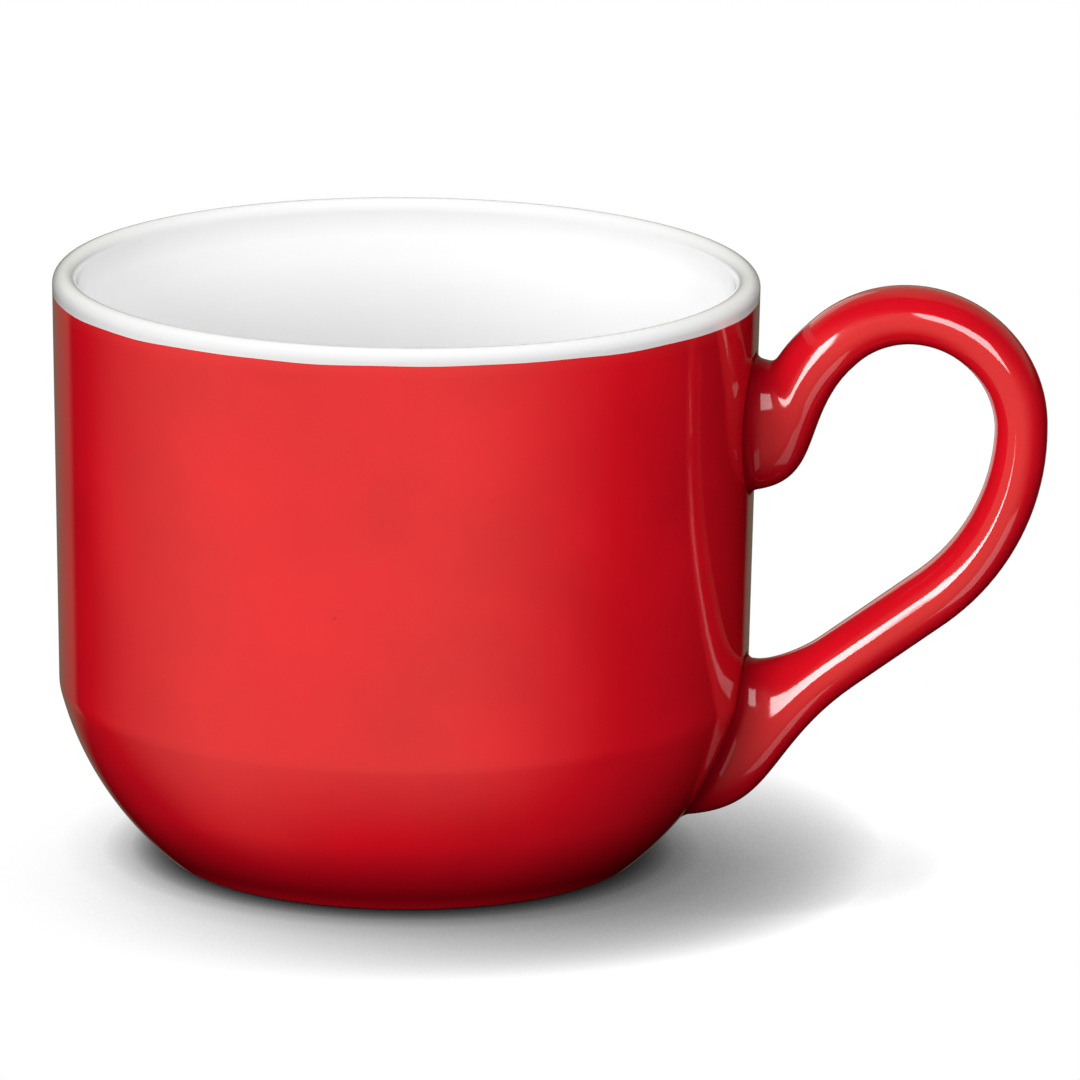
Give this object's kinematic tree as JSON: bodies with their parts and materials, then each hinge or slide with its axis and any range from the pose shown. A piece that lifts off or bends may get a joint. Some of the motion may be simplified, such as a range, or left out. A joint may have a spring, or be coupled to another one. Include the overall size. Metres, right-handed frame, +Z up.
{
  "type": "soup mug",
  "caption": "Round stoneware soup mug with a rounded bowl, a narrow foot ring and a looped side handle, white glaze inside and over the lip and red glaze outside.",
  "frame": {"origin": "on the cup's axis at the table, in the middle of the foot ring", "axes": "+Z up along the cup's axis, +X from the axis towards the handle, +Y completes the right-handed frame"},
  "size_m": [0.1526, 0.108, 0.092],
  "materials": {
    "stoneware": "fired unglazed clay",
    "slip": "fired luting slip",
    "white_glaze": "gloss white glaze",
    "red_glaze": "gloss red glaze"
  },
  "bodies": {
    "root": {"stoneware_body": "stoneware", "handle": "stoneware", "upper_slip_joint": "slip", "lower_slip_joint": "slip", "liner_glaze": "white_glaze", "outer_glaze": "red_glaze", "handle_glaze": "red_glaze", "base_glaze": "red_glaze"}
  },
  "joints": []
}
